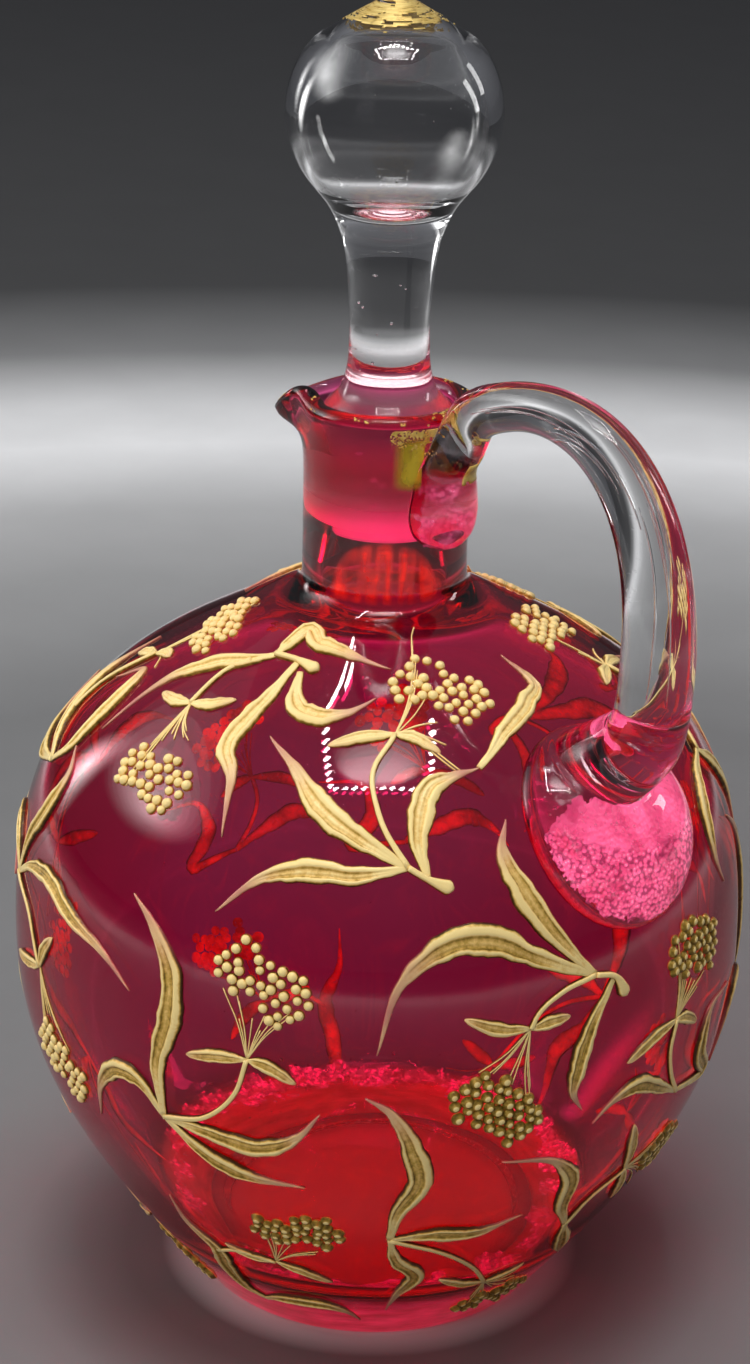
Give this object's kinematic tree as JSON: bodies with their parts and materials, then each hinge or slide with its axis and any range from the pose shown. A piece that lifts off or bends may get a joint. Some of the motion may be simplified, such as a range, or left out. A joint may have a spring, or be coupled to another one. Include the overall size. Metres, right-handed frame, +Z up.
{
  "type": "glass decanter",
  "caption": "Round-bodied coloured glass decanter with a pinched pouring lip, applied clear handle, hollow ball stopper and raised enamel sprays of leaves and beaded flower heads.",
  "frame": {"origin": "centre of the foot, on the surface that the decanter stands on", "axes": "+Z up the bottle's axis, +X from the axis towards the handle; the pouring lip is on the -X side, turned 25 degrees towards -Y"},
  "size_m": [0.1278, 0.1264, 0.2234],
  "materials": {
    "cranberry_glass": "blown gold-ruby glass, polished by fire, with fine scratches and small seeds",
    "clear_glass": "clear blown glass with seeds; the stopper's plug is ground and its foot is matte",
    "raised_enamel": "opaque cream and gold enamel, fired on in relief, satin with a worn gold wash",
    "gilding": "thin fired gilding, brushed on and worn through"
  },
  "bodies": {
    "bottle": {"bottle": "cranberry_glass", "handle": "clear_glass", "rim_gilding": "gilding", "shoulder_front_leaves": "raised_enamel", "shoulder_front_beads": "raised_enamel", "shoulder_left_leaves": "raised_enamel", "shoulder_left_beads": "raised_enamel", "shoulder_right_leaves": "raised_enamel", "shoulder_right_beads": "raised_enamel", "shoulder_far_left_leaves": "raised_enamel", "shoulder_far_left_beads": "raised_enamel", "side_left_leaves": "raised_enamel", "side_left_beads": "raised_enamel", "middle_left_leaves": "raised_enamel", "middle_left_beads": "raised_enamel", "middle_front_leaves": "raised_enamel", "middle_front_beads": "raised_enamel", "middle_right_leaves": "raised_enamel", "middle_right_beads": "raised_enamel", "lower_right_leaves": "raised_enamel", "lower_right_beads": "raised_enamel", "foot_front_leaves": "raised_enamel", "foot_front_beads": "raised_enamel", "foot_left_leaves": "raised_enamel", "foot_left_beads": "raised_enamel", "shoulder_back_right_leaves": "raised_enamel", "shoulder_back_right_beads": "raised_enamel", "middle_back_right_leaves": "raised_enamel", "middle_back_right_beads": "raised_enamel", "side_back_right_leaves": "raised_enamel", "side_back_right_beads": "raised_enamel", "side_back_leaves": "raised_enamel", "side_back_beads": "raised_enamel", "foot_back_leaves": "raised_enamel", "foot_back_beads": "raised_enamel", "foot_back_right_leaves": "raised_enamel", "foot_back_right_beads": "raised_enamel", "shoulder_back_left_leaves": "raised_enamel", "shoulder_back_left_beads": "raised_enamel", "middle_back_left_leaves": "raised_enamel", "middle_back_left_beads": "raised_enamel", "foot_back_left_leaves": "raised_enamel", "foot_back_left_beads": "raised_enamel", "side_back_left_leaves": "raised_enamel", "side_back_left_beads": "raised_enamel", "foot_side_left_leaves": "raised_enamel", "foot_side_left_beads": "raised_enamel", "loose_leaf": "raised_enamel"},
    "stopper": {"stopper": "clear_glass", "stopper_tip_gilding": "gilding"}
  },
  "joints": [
    {"name": "stopper_lift", "type": "slide", "parent": "bottle", "child": "stopper", "axis": [0, 0, 1], "range_m": [0, 0.06]}
  ]
}
